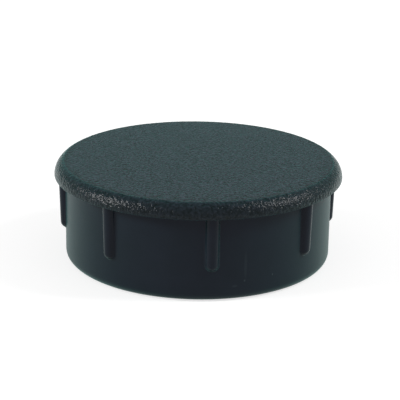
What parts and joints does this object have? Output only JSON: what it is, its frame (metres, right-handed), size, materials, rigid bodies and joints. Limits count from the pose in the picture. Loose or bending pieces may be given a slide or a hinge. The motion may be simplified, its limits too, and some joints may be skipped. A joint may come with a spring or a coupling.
{
  "type": "round tube insert end cap",
  "caption": "Round push-in end cap for a tube: a slightly domed, grained head over a hollow plain skirt, with short tapered crush ribs under the seat.",
  "frame": {"origin": "centre of the seat plane under the head, where the tube's end bears", "axes": "+Z along the cap's axis, out of the tube through the head; a rib lies on each of the X and Y axes"},
  "size_m": [0.05, 0.05, 0.0184],
  "materials": {
    "cap_plastic": "black polyethylene, fine spark-eroded grain on the head and satin on the skirt and ribs"
  },
  "bodies": {
    "root": {"end_cap": "cap_plastic"}
  },
  "joints": []
}
